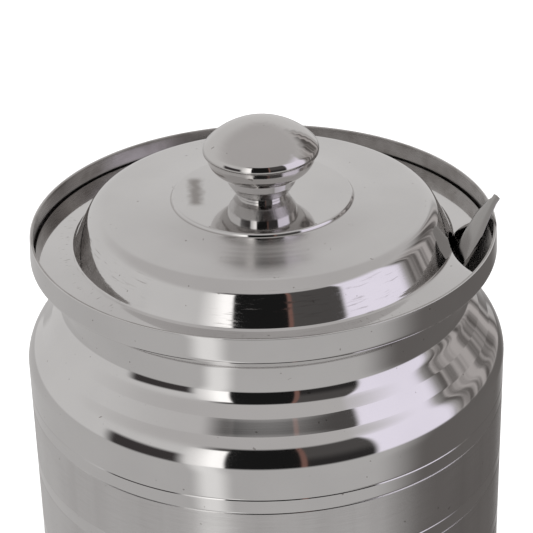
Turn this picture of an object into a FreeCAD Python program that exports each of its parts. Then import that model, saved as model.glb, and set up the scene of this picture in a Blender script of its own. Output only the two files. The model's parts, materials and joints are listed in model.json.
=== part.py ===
import FreeCAD, Part
import math
import os

# Steel can with a flared mouth, a drop-in domed lid with a knob, and a spoon
# whose handle leaves through a notch in the lid's flange.
# Millimetres. Origin: centre of the base ring, on the surface the can stands on.
# +Z is up, and +X points towards the notch.

V = FreeCAD.Vector
AXIS = V(0, 0, 1)

# Driving dimensions. Depths and rises are measured from the edge of the mouth.
can_height = 135.0        # base ring to the edge of the mouth
lip_radius = 60.0         # outside radius of the mouth
body_radius = 63.0        # outside radius of the straight wall
neck_radius = 52.4        # outside radius of the upright neck
can_sheet = 0.8
floor_recess = 1.5        # floor above the base ring
rim_depth = 6.3           # where the rim's wall turns in under itself
neck_depth = 12.3         # where the ledge under the rim meets the neck
shoulder_depth = 20.5     # where the neck meets the shoulder
wall_depth = 32.2         # where the shoulder meets the straight wall
low_cone = (58.8, 27.9)   # radius and depth where the shoulder's cones meet
high_cone = (56.1, 24.45)
recess_radius = 45.0      # edge of the recessed floor
stand_radius = 49.0       # inner edge of the ring the can stands on

lid_sheet = 0.8
flange_radius = 58.8      # edge of the lid's flange
flange_drop = 4.9
foot_radius = 49.0        # where the flange meets the dome's side
foot_drop = 4.0
plateau_radius = 44.0     # where the dome's side meets its top
plateau_rise = 5.4
seat_radius = 23.0        # raised seat under the knob
seat_rise = 8.2
seat_foot_radius = 23.4   # foot of the step up to the seat
seat_foot_rise = 7.4
swell_radius = 30.5       # where the top starts to swell towards the seat
swell_rise = 6.2

notch_azimuth = -8.1      # degrees from +X towards +Y
notch_half_angle = 15.7   # degrees, at the flange's edge
notch_reach = 48.4        # radius of the notch's inner end

knob_radius = 14.8
knob_apex = 28.7          # knob's top
cap_edge = 20.1           # cap's lower edge
knob_waist = 14.2         # top of the collar, under the cup
knob_sheet = 0.7
collar_foot = 6.2         # collar's radius where it stands on the seat
collar_top = 9.2
screw_radius = 2.0
screw_clearance = 0.2
boss_bore_gap = 0.05
boss_radius = 6.0
boss_height = 7.0
washer_sheet = 1.0
head_radius = 4.0
head_height = 2.4

strap_width = 8.2         # along the fold
strap_sheet = 1.2
strap_length = 119.9      # from the fold to the strap's lower end
strap_lean = 22.6         # degrees from upright
strap_heading = 172.0     # compass direction in which the strap runs down, from +X
fold_heading = -74.0      # compass direction of the fold, from +X
spoon_radius = 17.0
spoon_depth = 14.0
spoon_sheet = 0.8
weld_length = 9.0         # strap lying on the bowl's wall
weld_overlap = 0.15
fold = V(49.9, -9.4, can_height - 7.2)      # middle of the handle's fold
tab_tip = V(60.3, 3.1, can_height + 3.8)    # end of the folded tab, over the lip


def corner_arc(before, corner, after, radius):
    """Tangent points and middle point of the arc that rounds one corner."""
    into = (before - corner).normalize()
    out = (after - corner).normalize()
    half = into.getAngle(out) / 2
    reach = radius / math.tan(half)
    middle = (into + out).normalize() * (radius / math.sin(half) - radius)
    return corner + into * reach, corner + middle, corner + out * reach


def rounded_edges(corners):
    """Edges of an outline given as (r, z, corner radius) from end to end."""
    points = [V(r, 0, z) for r, z, _ in corners]
    edges = []
    start = points[0]
    for i in range(1, len(points) - 1):
        radius = corners[i][2]
        first, middle, last = corner_arc(points[i - 1], points[i], points[i + 1], radius)
        edges.append(Part.makeLine(start, first))
        edges.append(Part.Arc(first, middle, last).toShape())
        start = last
    edges.append(Part.makeLine(start, points[-1]))
    return edges


def offset_corners(corners, gap):
    """The same outline moved sideways by gap, to the left of its direction."""
    points = [V(r, 0, z) for r, z, _ in corners]
    runs = [(b - a).normalize() for a, b in zip(points, points[1:])]
    sides = [V(-run.z, 0, run.x) for run in runs]
    moved = []
    for i, (_, _, radius) in enumerate(corners):
        side = sides[max(i - 1, 0)]
        after = sides[min(i, len(sides) - 1)]
        mitre = (side + after) * (gap / (1 + side.dot(after)))
        turn = runs[max(i - 1, 0)].cross(runs[min(i, len(runs) - 1)]).y
        grown = radius + gap if turn > 0 else radius - gap
        place = points[i] + mitre
        moved.append((max(place.x, 0.0), place.z, max(grown, 0.2)))
    return moved


def spun(edges):
    """Solid of revolution about the Z axis from a closed set of edges."""
    face = Part.Face(Part.Wire(Part.__sortEdges__(edges)))
    return face.revolve(V(0, 0, 0), AXIS, 360)


def spun_sheet(corners, sheet):
    """Sheet metal of revolution: the outline and its offset to the left."""
    other = offset_corners(corners, sheet)
    outer = rounded_edges(corners)
    inner = rounded_edges(other)
    ends = [Part.makeLine(V(a[0], 0, a[1]), V(b[0], 0, b[1]))
            for a, b in ((corners[0], other[0]), (corners[-1], other[-1]))]
    return spun(outer + inner + ends)


def spun_block(corners):
    """Solid of revolution from a closed loop of (r, z) points."""
    points = [V(r, 0, z) for r, z in corners]
    return spun(Part.makePolygon(points + points[:1]).Edges)


def above_lip(corners):
    """Turn heights measured from the mouth's edge into heights from the base."""
    return [(r, z + can_height, radius) for r, z, radius in corners]


# Can body: one drawn and spun shell, with a recessed floor, a straight wall,
# a shoulder in three cones, an upright neck, a ledge and a standing rim.
def can_body():
    floor = [
        (0.0, floor_recess, 0),
        (recess_radius, floor_recess, 3),
        (stand_radius, 0.0, 3),
        (body_radius, 0.0, 6),
    ]
    upper = above_lip([
        (body_radius, -wall_depth, 9),
        (low_cone[0], -low_cone[1], 2.0),
        (high_cone[0], -high_cone[1], 1.0),
        (neck_radius, -shoulder_depth, 5.5),
        (neck_radius, -neck_depth, 1.0),
        (lip_radius + 0.3, -rim_depth, 1.5),
        (lip_radius, 0.0, 0),
    ])
    return spun_sheet(floor + upper, can_sheet)


def notch_cutter():
    """U-shaped bite through the flange, open to its edge."""
    half_width = flange_radius * math.sin(math.radians(notch_half_angle))
    reach = flange_radius * math.cos(math.radians(notch_half_angle))
    low = V(0, 0, can_height - 20)
    inner = V(notch_reach, 0, 0) + low
    left = V(reach, half_width, 0) + low
    right = V(reach, -half_width, 0) + low
    far = V(10, 0, 0)
    bite = Part.Arc(left, inner, right).toShape()
    sides = Part.makePolygon([right, right + far, left + far, left]).Edges
    face = Part.Face(Part.Wire([bite] + sides))
    cutter = face.extrude(V(0, 0, 18))
    cutter.rotate(V(0, 0, 0), AXIS, notch_azimuth)
    return cutter


# Lid pan: one pressing with a flat flange, a steep side, a slightly domed top
# and a low raised seat for the knob. The flange has the spoon's notch.
def lid_pan():
    shape = spun_sheet(above_lip([
        (flange_radius, -flange_drop, 0),
        (foot_radius, -foot_drop, 1.0),
        (plateau_radius, plateau_rise, 4.5),
        (swell_radius, swell_rise, 50),
        (seat_foot_radius, seat_foot_rise, 0.35),
        (seat_radius, seat_rise, 0.5),
        (screw_radius + screw_clearance, seat_rise, 0),
    ]), lid_sheet)
    return shape.cut(notch_cutter())


# Knob: a pressed cap over a pressed cup, on a turned collar, with a threaded
# boss inside. One screw from under the lid holds them all.
def knob_cap():
    return spun_sheet(above_lip([
        (knob_radius, cap_edge, 0),
        (knob_radius, cap_edge + 1.5, 2.4),
        (8.2, knob_apex, 18),
        (0.0, knob_apex, 0),
    ]), knob_sheet)


def knob_cup():
    return spun_sheet(above_lip([
        (screw_radius + screw_clearance, knob_waist, 0),
        (10.4, knob_waist, 3.0),
        (13.5, knob_waist + 2.7, 4.5),
        (knob_radius - 0.75, cap_edge + 0.2, 0),
    ]), knob_sheet)


def knob_collar():
    low = can_height + seat_rise
    high = can_height + knob_waist
    bore = screw_radius + screw_clearance
    return spun_block([
        (bore, low), (collar_foot, low), (collar_foot, low + 0.7), (collar_foot + 1.1, low + 1.4),
        (collar_top - 0.4, high - 2.2), (collar_top, high), (bore, high),
    ])


def knob_boss():
    low = can_height + knob_waist + knob_sheet
    high = low + boss_height
    bore = screw_radius + boss_bore_gap
    return spun_block([(bore, low), (boss_radius, low), (boss_radius, high), (bore, high)])


def knob_washer():
    high = can_height + seat_rise - lid_sheet
    low = high - washer_sheet
    bore = screw_radius + screw_clearance
    return spun_block([(bore, low), (boss_radius, low), (boss_radius, high), (bore, high)])


def knob_screw():
    head_top = can_height + seat_rise - lid_sheet - washer_sheet
    head_low = head_top - head_height
    end = can_height + knob_waist + knob_sheet + boss_height - 1.0
    screw = spun_block([
        (0, head_low), (head_radius - 0.8, head_low), (head_radius, head_low + 1.0),
        (head_radius, head_top), (screw_radius, head_top), (screw_radius, end - 0.6),
        (screw_radius - 0.6, end), (0, end),
    ])
    slot_width = 1.0
    slot_depth = 1.0
    slot = Part.makeBox(2 * head_radius + 1, slot_width, slot_depth,
                        V(-head_radius - 0.5, -slot_width / 2, head_low))
    return screw.cut(slot)


def level(degrees):
    """Level direction at a heading from +X towards +Y."""
    heading = math.radians(degrees)
    return V(math.cos(heading), math.sin(heading), 0)


def upward():
    """Direction of the strap, from its lower end to the fold."""
    tilt = math.radians(strap_lean)
    return level(strap_heading) * -math.sin(tilt) + AXIS * math.cos(tilt)


# Spoon handle: a strap standing in the can, folded over askew at the top into a
# tab that narrows to a rounded tip lying over the can's lip.
def spoon_handle():
    half = strap_width / 2
    across = level(fold_heading)
    through = across.cross(AXIS) * (strap_sheet / 2)
    side = across * half
    section = Part.makePolygon([fold + side + through, fold + side - through,
                                fold - side - through, fold - side + through,
                                fold + side + through])
    strap = Part.Face(section).extrude(upward() * -strap_length)

    run = tab_tip - fold
    length = run.Length
    along = V(run).normalize()
    square = along.cross(across).normalize().cross(along)
    back = across.dot(along) * half
    half_tab = across.dot(square) * half
    tip_half = 1.2
    outline = Part.makePolygon([
        V(back, half_tab, 0), V(length * 0.36, half_tab, 0), V(length * 0.72, tip_half + 0.3, 0),
        V(length, tip_half, 0), V(length, -tip_half, 0), V(length * 0.86, -half_tab * 0.6, 0),
        V(length * 0.6, -half_tab, 0), V(-back, -half_tab, 0), V(back, half_tab, 0),
    ])
    tab = Part.Face(outline).extrude(V(0, 0, strap_sheet))
    tab = tab.fuse(Part.makeCylinder(tip_half + 0.3, strap_sheet, V(length, 0, 0)))
    tab.translate(V(0, 0, -strap_sheet / 2))
    tab.Placement = FreeCAD.Placement(fold, FreeCAD.Rotation(along, square, V(), "XYZ"))
    roll = Part.makeCylinder(strap_sheet / 2, strap_width, fold - side, across)
    return strap.fuse([tab, roll]).removeSplitter()


# Spoon bowl: a deep pressed bowl with a straight upper wall, which the
# handle's lower end is spot-welded to.
def spoon_bowl():
    bowl = spun_sheet([
        (0.0, -spoon_depth, 0),
        (9.0, -spoon_depth, 7.0),
        (spoon_radius, -spoon_depth + 6.5, 5.0),
        (spoon_radius, 0.0, 0),
    ], spoon_sheet)
    up = upward()
    face = up.cross(level(fold_heading)).normalize()
    half_strap = strap_sheet / 2 * abs(face.dot(V(face.x, face.y, 0).normalize()))
    rim = fold - up * (strap_length - weld_length)
    centre = rim + face * (spoon_radius + half_strap - weld_overlap)
    turn = FreeCAD.Rotation(face, V(), up, "ZXY")
    bowl.Placement = FreeCAD.Placement(centre, turn)
    return bowl


os.makedirs("parts", exist_ok=True)
for build in (can_body, lid_pan, knob_cap, knob_cup, knob_collar, knob_boss,
              knob_washer, knob_screw, spoon_handle, spoon_bowl):
    shape = build()
    shape.exportStep("parts/" + build.__name__ + ".step")
    box = shape.BoundBox
    print(build.__name__, shape.isValid(), shape.ShapeType, len(shape.Solids),
          round(shape.Volume), round(box.ZMin, 2), round(box.ZMax, 2),
          round(box.XMin, 2), round(box.XMax, 2), round(box.YMin, 2), round(box.YMax, 2))
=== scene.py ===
import bmesh
import bpy
import json
import math
from mathutils import Matrix, Vector


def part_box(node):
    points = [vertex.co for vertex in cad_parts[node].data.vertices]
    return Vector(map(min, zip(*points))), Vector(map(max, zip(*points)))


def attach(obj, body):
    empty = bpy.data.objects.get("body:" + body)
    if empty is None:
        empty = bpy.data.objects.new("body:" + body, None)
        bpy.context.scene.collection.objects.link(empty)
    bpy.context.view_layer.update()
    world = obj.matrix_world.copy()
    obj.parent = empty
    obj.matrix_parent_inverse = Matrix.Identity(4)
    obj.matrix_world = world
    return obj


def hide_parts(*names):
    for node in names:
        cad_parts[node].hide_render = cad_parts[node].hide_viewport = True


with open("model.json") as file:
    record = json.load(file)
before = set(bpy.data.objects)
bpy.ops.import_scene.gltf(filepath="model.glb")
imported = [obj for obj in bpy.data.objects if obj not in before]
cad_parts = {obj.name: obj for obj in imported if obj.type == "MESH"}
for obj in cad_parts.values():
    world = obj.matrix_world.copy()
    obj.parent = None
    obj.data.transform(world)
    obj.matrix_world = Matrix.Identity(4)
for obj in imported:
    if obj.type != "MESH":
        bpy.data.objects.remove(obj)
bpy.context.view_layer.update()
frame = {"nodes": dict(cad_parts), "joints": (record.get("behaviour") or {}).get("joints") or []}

# ---- Can body -------------------------------------------------------------
# One stainless sheet, drawn and then spun: a recessed floor, a straight wall,
# a shoulder, a short stepped neck and a flared mouth with a plain cut edge.
# It is mirror polished, except for the brushed bands between cut lines.

MM = 0.001
can_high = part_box("can_body")[1]
lip_height = can_high[2]
body_radius = can_high[0]
lip_radius = body_radius - 3.0 * MM
neck_radius = 52.4 * MM
can_sheet = 0.8 * MM
cut_edge = 0.25 * MM      # how far the edges of the sheet are broken
arc_step = 5.0            # degrees of a rounded corner to each of its segments


def rounded_outline(bm, corners, above, longest=1.0 * MM):
    """Draw an outline of (radius, height, corner radius) in mm, with each corner turned as an arc."""
    points = [Vector((r * MM, 0, z * MM + above)) for r, z, _ in corners]
    verts = [bm.verts.new(point) for point in points]
    for a, b in zip(verts, verts[1:]):
        bm.edges.new((a, b))
    for i in range(1, len(points) - 1):
        into = points[i] - points[i - 1]
        out = points[i + 1] - points[i]
        turn = into.angle(out)
        reach = corners[i][2] * MM * math.tan(turn / 2)
        if reach > 0:
            bmesh.ops.bevel(bm, geom=[verts[i]], offset=reach, offset_type="OFFSET",
                            segments=max(3, round(math.degrees(turn) / arc_step)), profile=0.5,
                            affect="VERTICES", material=-1)
    for edge in list(bm.edges):
        cuts = int(edge.calc_length() / longest)
        if cuts:
            bmesh.ops.subdivide_edges(bm, edges=[edge], cuts=cuts)


def from_axis(place):
    return place.xy.length


def spin_round(bm, steps, reach=from_axis):
    """Spin the outline about the upright axis into a band that faces the way in which reach grows."""
    bmesh.ops.spin(bm, geom=bm.verts[:] + bm.edges[:], axis=(0, 0, 1), cent=(0, 0, 0),
                   angle=math.tau, steps=steps, use_merge=True)
    bmesh.ops.remove_doubles(bm, verts=bm.verts, dist=0.002 * MM)
    bmesh.ops.recalc_face_normals(bm, faces=bm.faces)
    face = max(bm.faces, key=lambda face: reach(face.calc_center_median()))
    centre = face.calc_center_median()
    if reach(centre + face.normal * MM) < reach(centre):
        bmesh.ops.reverse_faces(bm, faces=bm.faces)


def as_piece(name, bm, body, node):
    """Make a smooth-shaded piece that rides on a body and stands for a CAD node."""
    for face in bm.faces:
        face.smooth = True
    mesh = bpy.data.meshes.new(name)
    bm.to_mesh(mesh)
    bm.free()
    piece = bpy.data.objects.new(name, mesh)
    bpy.context.scene.collection.objects.link(piece)
    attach(piece, body)
    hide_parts(node)
    return piece


def give_thickness(piece, sheet, edge, side=-1):
    """Make a skin into sheet metal, inwards or with side 0 both ways, with its cut edges broken."""
    wall = piece.modifiers.new("sheet", "SOLIDIFY")
    wall.thickness = sheet
    wall.offset = side
    wall.use_even_offset = True
    broken = piece.modifiers.new("broken edges", "BEVEL")
    broken.width = edge
    broken.segments = 3
    broken.limit_method = "ANGLE"
    broken.angle_limit = math.radians(50)


class Wire:
    """A socket of a node tree. Arithmetic on it adds the Math nodes that work out the result."""

    def __init__(self, tree, socket=None):
        self.tree = tree
        self.socket = socket

    def node(self, kind, settings=(), sockets=(), out=0):
        made = self.tree.nodes.new(kind)
        for name, value in dict(settings).items():
            setattr(made, name, value)
        for name, value in dict(sockets).items():
            if isinstance(value, Wire):
                self.tree.links.new(value.socket, made.inputs[name])
            else:
                made.inputs[name].default_value = value
        return Wire(self.tree, made.outputs[out])

    def feed(self, shader, name):
        self.tree.links.new(self.socket, shader.inputs[name])

    def math(self, operation, *values):
        return self.node("ShaderNodeMath", {"operation": operation}, dict(enumerate(values)))

    def __add__(self, other):
        return self.math("ADD", self, other)

    def __sub__(self, other):
        return self.math("SUBTRACT", self, other)

    def __rsub__(self, other):
        return self.math("SUBTRACT", other, self)

    def __mul__(self, other):
        return self.math("MULTIPLY", self, other)

    def __radd__(self, other):
        return self.math("ADD", other, self)

    def larger(self, other):
        return self.math("MAXIMUM", self, other)

    def rise(self, low, high):
        """0 below low, 1 above high, and a soft step between."""
        return self.node("ShaderNodeMapRange", {"interpolation_type": "SMOOTHSTEP"},
                         {"Value": self, "From Min": low, "From Max": high})

    def fall(self, low, high):
        """1 below low, 0 above high, and a soft step between."""
        return 1 - self.rise(low, high)

    def within(self, low, high, soft):
        """1 between low and high, with soft sides."""
        return self.rise(low - soft, low + soft) * self.fall(high - soft, high + soft)

    def blend(self, first, second):
        """A colour from first to second as this goes from 0 to 1."""
        return self.node("ShaderNodeMix", {"data_type": "RGBA"},
                         {"Factor": self, 6: first, 7: second}, out=2)

    def vector(self, x, y, z):
        return self.node("ShaderNodeCombineXYZ", sockets={0: x, 1: y, 2: z})

    def split(self):
        """The three parts of a vector."""
        parts = self.node("ShaderNodeSeparateXYZ", sockets={0: self}).socket.node.outputs
        return [Wire(self.tree, part) for part in parts]

    def noise(self, scale, detail):
        """Noise at the places that this vector gives."""
        return self.node("ShaderNodeTexNoise", sockets={"Vector": self, "Scale": scale, "Detail": detail})


def new_material(name):
    material = bpy.data.materials.new(name)
    material.use_nodes = True
    tree = material.node_tree
    return material, Wire(tree), tree.nodes["Principled BSDF"]


def polished_steel(name, marks=None, colour=(0.72, 0.71, 0.705, 1), roughness=0.04):
    """Mirror-polished stainless steel with gentle waves, the wheel's fine rings and its own marks.

    marks takes the place, its distance from the axis, its angle round it and its height. It gives
    the extra bump height, the extra roughness and how far the colour is darkened, by wear and by painted
    shade and painted reflections.
    """
    material, start, shader = new_material(name)
    place = start.node("ShaderNodeTexCoord", out="Object")
    x, y, z = place.split()
    radius = start.math("SQRT", x * x + y * y)
    angle = start.math("ARCTAN2", y, x)
    waves = place.noise(60.0, 1.0)
    rings = start.vector(radius * 4200, angle * 1.5, z * 4200).noise(1.0, 2.0)
    haze = place.noise(45.0, 4.0)
    height = waves * (0.014 * MM) + rings * (0.0009 * MM)
    rough = roughness + haze * 0.03 + rings.rise(0.5, 0.75) * 0.03
    dull_and_shade = place.noise(700.0, 1.0).rise(0.76, 0.8) * 0.6
    if marks:
        more_height, more_rough, more_dull_and_shade = marks(place, radius, angle, z)
        height = height + more_height
        rough = rough + more_rough
        dull_and_shade = dull_and_shade.larger(more_dull_and_shade)
    bump = start.node("ShaderNodeBump", sockets={"Height": height, "Strength": 1.0, "Distance": 1.0})
    hazy = tuple(part * 0.95 for part in colour[:3]) + (1,)
    # The dark colour for worn spots, which painted shade and painted reflections also darken towards.
    worn_and_shaded = (0.27, 0.25, 0.235, 1)
    bump.feed(shader, "Normal")
    rough.feed(shader, "Roughness")
    dull_and_shade.blend(haze.rise(0.3, 0.7).blend(colour, hazy), worn_and_shaded).feed(shader, "Base Color")
    shader.inputs["Metallic"].default_value = 1.0
    return material


# Heights of the cut lines, in mm from the lip. They come in pairs, with a
# polished band inside each pair and a brushed band below it.
first_line = -43.2
polished_band = 3.9
brushed_band = 15.8
band_pitch = polished_band + brushed_band
lines = []
for pair in range(3):
    top_line = first_line - pair * band_pitch
    lines += [top_line, top_line - polished_band]


def cut_line(height):
    """A shallow V cut in the wall, from below it to above it."""
    wall = body_radius / MM
    half, depth = 0.3, 0.1
    return [(wall, height - half, 0.15), (wall - depth, height, 0.12), (wall, height + half, 0.15)]


def can_outline():
    """The can's outer face from the middle of its floor to its lip."""
    wall = body_radius / MM
    lip = lip_radius / MM
    neck = neck_radius / MM
    floor = -lip_height / MM
    outline = [(0, floor + 1.5, 0), (45, floor + 1.5, 3), (49, floor, 3), (wall, floor, 6)]
    for height in sorted(lines):
        outline += cut_line(height)
    return outline + [
        (wall, -32.2, 9),
        (58.8, -27.9, 2.0),
        (56.1, -24.45, 1.0),
        (neck, -20.5, 5.5),
        (neck, -12.3, 1.0),
        (lip + 0.3, -6.3, 1.5),
        (lip, 0, 0),
    ]


bm = bmesh.new()
rounded_outline(bm, can_outline(), lip_height)
spin_round(bm, 288)
can_skin = as_piece("can_skin", bm, "can", "can_body")
give_thickness(can_skin, can_sheet, cut_edge)


def can_marks(place, radius, angle, z):
    """Lines brushed round the wall in wide bands with painted reflection streaks, and an inside that is
    rougher and painted darker as shade.
    """
    lowest_brushed = 17.0 * MM
    ledge_drop, ledge_slope = 11.8 * MM, 0.76
    depth = (lip_height + (first_line - polished_band) * MM) - z
    cycle = place.math("MODULO", depth, band_pitch * MM)
    outside = radius.rise(body_radius - 0.6 * MM, body_radius - 0.4 * MM)
    tall_enough = z.rise(lowest_brushed, lowest_brushed + 0.3 * MM)
    brushed = cycle.within(0.0, brushed_band * MM, 0.05 * MM) * depth.rise(0.0, 0.1 * MM)
    brushed = brushed * tall_enough * outside
    brush = place.vector(0.0, angle * 6, z * 9000).noise(1.0, 3.0)
    # The inside of the mouth and neck is painted darker as shade in the recess, unevenly, and is also
    # rougher.
    over_ledge = z - lip_height + ledge_drop - (radius - neck_radius) * ledge_slope
    funnel = over_ledge.rise(0.0, 0.1 * MM) * radius.fall(lip_radius - 0.35 * MM, lip_radius - 0.25 * MM)
    inside = funnel.larger(radius.fall(neck_radius - 0.4 * MM, neck_radius - 0.3 * MM))
    shade_patches = place.noise(120.0, 4.0).rise(0.45, 0.7)
    # Streaks that change with the angle round the wall darken the brushed bands: painted reflections, not a
    # property of the steel.
    painted_streaks = place.vector(angle * 7, 0.0, 0.0).noise(1.0, 3.0).rise(0.35, 0.7)
    dull_and_shade = (inside * (0.55 + shade_patches * 0.3)).larger(brushed * (painted_streaks * 0.12 + brush.rise(0.4, 0.7) * 0.12))
    return brush * brushed * (0.012 * MM), brushed * 0.16 + inside * 0.2, dull_and_shade


can_skin.data.materials.append(polished_steel("can steel", marks=can_marks))

# ---- Lid pan --------------------------------------------------------------
# One pressing: a flange that drops into the mouth, a steep side, a slightly
# domed top and a low round seat for the knob. The flange has a bite cut out
# of it for the spoon's handle.

flange_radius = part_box("lid_pan")[1][1] / MM
lid_sheet = 0.8 * MM
foot_radius = 49.0
seat_foot = 23.4
knob_hole = 2.2
lid_outline = [
    (flange_radius, -4.9, 0),
    (foot_radius, -4.0, 1.0),
    (44.0, 5.4, 4.5),
    (30.5, 6.2, 50),
    (seat_foot, 7.4, 0.35),
    (23.0, 8.2, 0.5),
    (knob_hole, 8.2, 0),
]
notch_turn = math.radians(-8.1)
notch_half_angle = math.radians(15.7)
notch_reach = 48.4
notch_half_width = flange_radius * math.sin(notch_half_angle)
notch_depth = flange_radius * math.cos(notch_half_angle) - notch_reach
notch_radius = (notch_half_width ** 2 + notch_depth ** 2) / (2 * notch_depth)
notch_way = Vector((math.cos(notch_turn), math.sin(notch_turn), 0))
notch_centre = notch_way * (notch_reach + notch_radius) * MM


def bite_notch(bm):
    """Take the faces inside the notch's circle away and draw the edge left behind onto the circle."""
    inside = [face for face in bm.faces
              if (face.calc_center_median().xy - notch_centre.xy).length < notch_radius * MM]
    bmesh.ops.delete(bm, geom=inside, context="FACES")
    (r0, z0, _), (r1, z1, _) = lid_outline[:2]
    for vert in bm.verts:
        off = vert.co.xy - notch_centre.xy
        inside_rim = vert.co.xy.length < (flange_radius - 0.3) * MM
        if vert.is_boundary and inside_rim and abs(off.length - notch_radius * MM) < 2 * MM:
            place = notch_centre.xy + off.normalized() * notch_radius * MM
            share = (place.length / MM - r0) / (r1 - r0)
            vert.co = (place.x, place.y, lip_height + (z0 + (z1 - z0) * share) * MM)


bm = bmesh.new()
rounded_outline(bm, lid_outline, lip_height, longest=0.7 * MM)
spin_round(bm, 360, reach=lambda place: place.z)
bite_notch(bm)
lid_skin = as_piece("lid_skin", bm, "lid", "lid_pan")
give_thickness(lid_skin, lid_sheet, 0.2 * MM)


def lid_marks(place, radius, angle, z):
    """Wheel scratches round the foot, a satin top, a dark patch on the seat that is a painted reflection, and
    a painted shade line round the seat's foot.
    """
    near_foot = radius.within((foot_radius - 4) * MM, (foot_radius + 0.5) * MM, 1.2 * MM)
    scratches = place.vector(radius * 2600, angle * 7, z * 1200).noise(1.0, 4.0)
    patches = place.noise(30.0, 1.0)
    scratched = near_foot * scratches.rise(0.55, 0.72) * patches.rise(0.42, 0.55)
    ticks = place.vector(radius * 500, angle * 110, 0.0).noise(1.0, 3.0)
    on_flange = radius.within((foot_radius + 1.3) * MM, (foot_radius + 3.8) * MM, 0.4 * MM)
    ticked = on_flange * ticks.rise(0.6, 0.7) * patches.rise(0.45, 0.55)
    x, y, _ = place.split()
    # A dark patch on the seat beside the knob is a painted reflection, not a mark on the steel.
    edge = place.noise(420.0, 3.0)
    reflection_patch_radius = 17.0 * MM
    aside = x + y * 0.05 + reflection_patch_radius + (edge - 0.5) * (2.2 * MM)
    painted_reflection_patch = aside.within(-1.5 * MM, 1.5 * MM, 1.3 * MM) * y.within(-6.0 * MM, 9.0 * MM, 1.6 * MM)
    satin = radius.within((seat_foot + 0.5) * MM, 41.0 * MM, 0.8 * MM)
    # A thin ring darkened where the seat rises from the top is painted shade in that crease.
    seat_crease_shade = radius.within((seat_foot - 0.1) * MM, (seat_foot + 0.2) * MM, 0.2 * MM)
    dull_and_shade = ((scratched + ticked) * 0.6).larger(painted_reflection_patch * 0.85).larger(seat_crease_shade * 0.55)
    return scratches * near_foot * (0.006 * MM), scratched * 0.2 + satin * 0.12, dull_and_shade


lid_skin.data.materials.append(polished_steel("lid steel", marks=lid_marks))

# ---- Knob -----------------------------------------------------------------
# A pressed cap closed from below by a pressed cup, on a short turned collar.
# The three are polished together and held to the lid by one screw.


def knob_piece(name, node, outline):
    bm = bmesh.new()
    rounded_outline(bm, outline, lip_height, longest=0.5 * MM)
    spin_round(bm, 160)
    return as_piece(name, bm, "lid", node)


cap_shell = knob_piece("knob_cap_shell", "knob_cap", [
    (14.1, 20.1, 0), (14.8, 20.1, 0.25), (14.8, 21.6, 2.4), (8.2, 28.7, 18), (0, 28.7, 0),
])
cup_shell = knob_piece("knob_cup_shell", "knob_cup", [
    (knob_hole, 14.2, 0), (10.4, 14.2, 3.0), (13.5, 16.9, 4.5), (14.2, 20.2, 0),
])
collar_ring = knob_piece("knob_collar_ring", "knob_collar", [
    (knob_hole, 8.2, 0), (6.2, 8.2, 0.1), (6.2, 8.9, 0.15), (7.3, 9.6, 0.5), (8.8, 12.0, 0.5),
    (9.2, 14.2, 0.1), (knob_hole, 14.2, 0),
])


def collar_marks(place, radius, angle, z):
    """Fine upright marks that a knurled grip left round the collar's lower half."""
    ticks = place.vector(angle * 42, z * 260, 0.0).noise(1.0, 3.0)
    low = lip_height + 9.4 * MM
    gripped = z.within(low, low + 2.6 * MM, 0.35 * MM)
    return ticks * gripped * (0.05 * MM), gripped * 0.12, gripped * ticks.rise(0.56, 0.7) * 0.6


knob_steel = polished_steel("knob steel", colour=(0.66, 0.645, 0.635, 1))
cap_shell.data.materials.append(knob_steel)
cup_shell.data.materials.append(knob_steel)
collar_ring.data.materials.append(polished_steel("collar steel", marks=collar_marks))

# ---- Fixings --------------------------------------------------------------
# One slotted screw goes up through a washer, the pan and the collar into a
# round boss in the knob. All three are plain turned steel.

fixing_steel = polished_steel("fixing steel", colour=(0.5, 0.49, 0.48, 1), roughness=0.25)
for node in ("knob_boss", "knob_washer", "knob_screw"):
    frame["nodes"][node].data.materials.clear()
    frame["nodes"][node].data.materials.append(fixing_steel)

# ---- Spoon ----------------------------------------------------------------
# A strap folded over at the top into a tab, and a pressed bowl spot-welded to
# its lower end. It leans in the can with the tab's tip over the mouth's edge.

spoon_axis = Vector(next(joint["axis"] for joint in frame["joints"] if joint["name"] == "spoon_lift"))
fold_turn = math.radians(-74)
fold_way = Vector((math.cos(fold_turn), math.sin(fold_turn), 0))
strap_length = 119.9 * MM
strap_half = 4.1 * MM
strap_sheet = 1.2 * MM
tab_run = Vector((10.4, 12.5, 10.4)) * MM

# Share of the tab's length from the fold, and share of the strap's half width.
tab_right = [(0, 1), (0.36, 1), (0.72, 0.45), (0.9, 0.26), (1, 0.3)]
tab_left = [(0, 1), (0.6, 1), (0.86, 0.6), (0.93, 0.28), (1, 0.3)]


def width_at(stops, share):
    """Width at a share of the tab's length, from the stops on either side of it."""
    for (s0, w0), (s1, w1) in zip(stops, stops[1:]):
        if share <= s1:
            return w0 + (w1 - w0) * (share - s0) / (s1 - s0)
    return stops[-1][1]


def settle(bm, node):
    """Move what is in bm so that its box has the same middle as the CAD node's box."""
    low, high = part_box(node)
    middle = (Vector(low) + Vector(high)) / 2
    own_low = Vector([min(vert.co[i] for vert in bm.verts) for i in range(3)])
    own_high = Vector([max(vert.co[i] for vert in bm.verts) for i in range(3)])
    bmesh.ops.translate(bm, verts=bm.verts, vec=middle - (own_low + own_high) / 2)


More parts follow.
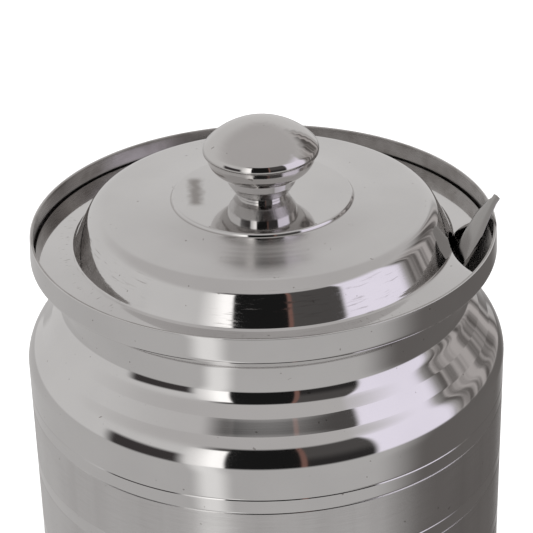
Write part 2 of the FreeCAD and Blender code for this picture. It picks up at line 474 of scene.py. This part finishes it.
tab_up = fold_way.cross(tab_run).normalized()
if tab_up.z < 0:
    tab_up.negate()
bm = bmesh.new()
bmesh.ops.create_grid(bm, x_segments=52, y_segments=12, size=1.0)
for vert in bm.verts:
    along, across = vert.co.x, vert.co.y
    if along <= 0:
        vert.co = fold_way * (strap_half * across) - spoon_axis * (strap_length * abs(along) ** 1.6)
    else:
        width = width_at(tab_right if across > 0 else tab_left, along)
        turned_down = 0.45 * MM * across ** 4
        vert.co = tab_run * along + fold_way * (strap_half * across * width) - tab_up * turned_down
fold_verts = [vert for vert in bm.verts if vert.co.length < 7 * MM]
for _ in range(4):
    bmesh.ops.smooth_vert(bm, verts=fold_verts, factor=0.5, use_axis_x=True, use_axis_y=True, use_axis_z=True)
settle(bm, "spoon_handle")
bmesh.ops.recalc_face_normals(bm, faces=bm.faces)
strap = as_piece("handle_strap", bm, "spoon", "spoon_handle")
give_thickness(strap, strap_sheet, 0.4 * MM, side=0)

spoon_radius = 17.0
spoon_depth = 14.0
bm = bmesh.new()
rounded_outline(bm, [(0, -spoon_depth, 0), (9, -spoon_depth, 7), (spoon_radius, -spoon_depth + 6.5, 5),
                     (spoon_radius, 0, 0)], 0.0, longest=0.8 * MM)
spin_round(bm, 120)
side = spoon_axis.cross(fold_way).normalized()
lean = Matrix((side, spoon_axis.cross(side), spoon_axis)).transposed()
bmesh.ops.transform(bm, matrix=lean.to_4x4(), verts=bm.verts)
settle(bm, "spoon_bowl")
bowl = as_piece("bowl_skin", bm, "spoon", "spoon_bowl")
give_thickness(bowl, 0.8 * MM, cut_edge)

spoon_steel = polished_steel("spoon steel", colour=(0.42, 0.41, 0.40, 1), roughness=0.2)
for piece in (strap, bowl):
    piece.data.materials.append(spoon_steel)

# ---- Stage ----------------------------------------------------------------
# A pale floor, a bright tent with a dark opening and a window on the side the
# can is seen from, and one wide soft light over it.

bm = bmesh.new()
bmesh.ops.create_grid(bm, x_segments=1, y_segments=1, size=6.0)
floor_mesh = bpy.data.meshes.new("floor")
bm.to_mesh(floor_mesh)
bm.free()
floor = bpy.data.objects.new("floor", floor_mesh)
bpy.context.scene.collection.objects.link(floor)
floor.visible_glossy = False
paint, start, shader = new_material("floor paint")
grain = start.node("ShaderNodeTexCoord", out="Object").noise(4.0, 2.0)
grain.blend((0.9, 0.9, 0.9, 1), (0.92, 0.92, 0.92, 1)).feed(shader, "Base Color")
shader.inputs["Roughness"].default_value = 0.9
floor.data.materials.append(paint)

# What the steel mirrors, by direction in degrees: rise is the angle above
# level, and turn goes to the right from the side that the camera is on.
world = bpy.data.worlds.new("studio")
bpy.context.scene.world = world
world.use_nodes = True
start = Wire(world.node_tree)
x, y, z = start.node("ShaderNodeTexCoord", out="Generated").split()
rise = start.math("ARCSINE", z) * (180 / math.pi)
turn = start.math("ARCTAN2", x, 0 - y) * (180 / math.pi)
above_table = rise.rise(-14, -8)

table = turn.within(-34, -21, 5).blend((0.53, 0.52, 0.515, 1), (0.95, 0.94, 0.93, 1))
table = turn.within(66, 160, 16).blend(table, (0.15, 0.14, 0.135, 1))
tent = rise.rise(22, 50).blend((0.68, 0.67, 0.665, 1), (0.54, 0.525, 0.52, 1))
light = rise.rise(-12, -8).blend(table, tent)

right_wall = rise.fall(36, 52) * above_table * turn.within(48, 92, 3)
light = right_wall.blend(light, (1.0, 0.95, 1.08, 1))
streaks = start.vector(turn * 0.16, rise * 0.012, 0.0).noise(1.0, 2.0)
streaked = streaks.rise(0.35, 0.65).blend((0.12, 0.11, 0.105, 1), (0.5, 0.47, 0.46, 1))
back_right = rise.fall(26, 44) * above_table * turn.within(92, 150, 6)
light = back_right.blend(light, streaked)

low_shadow = rise.fall(8, 16) * above_table * turn.within(-75, -39, 4)
light = low_shadow.blend(light, (0.05, 0.045, 0.045, 1))
shadow = rise.rise(0, 20).blend((0.03, 0.028, 0.028, 1), (0.085, 0.08, 0.078, 1))
shadow = turn.within(-19, 14, 1).blend(shadow, (0.012, 0.012, 0.012, 1))
shadow = turn.within(14, 16.5, 0.6).blend(shadow, (0.22, 0.12, 0.10, 1))
opening = rise.fall(40, 47) * above_table * turn.rise(-38, -22) * turn.fall(46, 50)
light = opening.blend(light, shadow)
window = rise.fall(32, 37) * above_table * turn.rise(-42, -24) * turn.fall(-20.5, -18.5)
light = window.blend(light, (1.45, 1.43, 1.41, 1))

seen = start.node("ShaderNodeLightPath", out="Is Camera Ray")
seen.blend(light, (1.0, 1.0, 1.0, 1)).feed(world.node_tree.nodes["Background"], "Color")

lamp = bpy.data.lights.new("overhead", "AREA")
lamp.shape = "DISK"
lamp.size = 2.5
lamp.energy = 60
overhead = bpy.data.objects.new("overhead", lamp)
overhead.location = (0, 0, 2.2)
overhead.visible_glossy = False
bpy.context.scene.collection.objects.link(overhead)

camera = bpy.data.cameras.new("camera")
camera.sensor_width = 36
camera.lens = 133.87
viewer = bpy.data.objects.new("camera", camera)
pitch_down = math.radians(28.565)
roll = math.radians(-1.479)
from_lip = Vector((0.0106, -7.5803, 3.9041)) * lip_radius
viewer.matrix_world = (Matrix.Translation(from_lip + Vector((0, 0, lip_height)))
                       @ Matrix.Rotation(math.pi / 2 - pitch_down, 4, "X") @ Matrix.Rotation(roll, 4, "Z"))
bpy.context.scene.collection.objects.link(viewer)
bpy.context.scene.camera = viewer
bpy.context.scene.view_settings.view_transform = "Standard"
